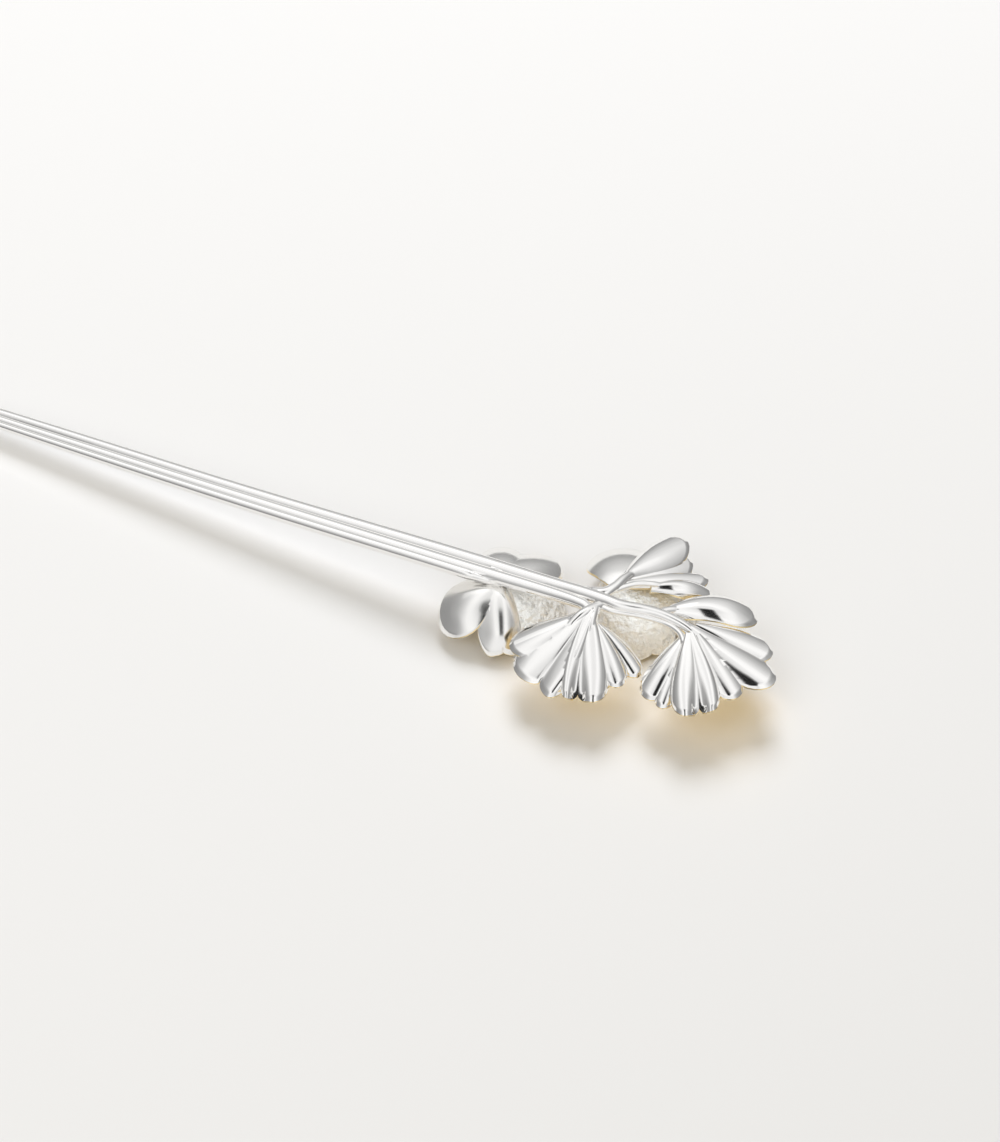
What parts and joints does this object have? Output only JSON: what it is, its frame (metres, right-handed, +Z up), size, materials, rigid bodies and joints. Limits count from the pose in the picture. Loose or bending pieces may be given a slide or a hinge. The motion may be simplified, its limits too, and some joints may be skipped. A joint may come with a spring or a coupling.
{
  "type": "hair stick",
  "caption": "Silver hair stick: a ribbed tapering shaft that branches into lobed leaves, with blossoms riveted beneath it.",
  "frame": {"origin": "on the table, under the middle of the part's bounding box", "axes": "+X along the shaft from its tip towards the leaves, +Z up out of the back of the stick as it lies face down, +Y to the left of +X"},
  "size_m": [0.1658, 0.0326, 0.0107],
  "materials": {
    "polished_silver": "mirror-polished silver, slightly worn",
    "cast_silver": "pale cast silver with a fine mottled skin",
    "gold_plate": "polished gold plate on the fronts and rims"
  },
  "bodies": {
    "root": {"stick": "polished_silver", "shaft_blossom": "cast_silver", "fork_blossom": "cast_silver", "shaft_rivet": "gold_plate", "fork_rivet": "gold_plate"}
  },
  "joints": []
}
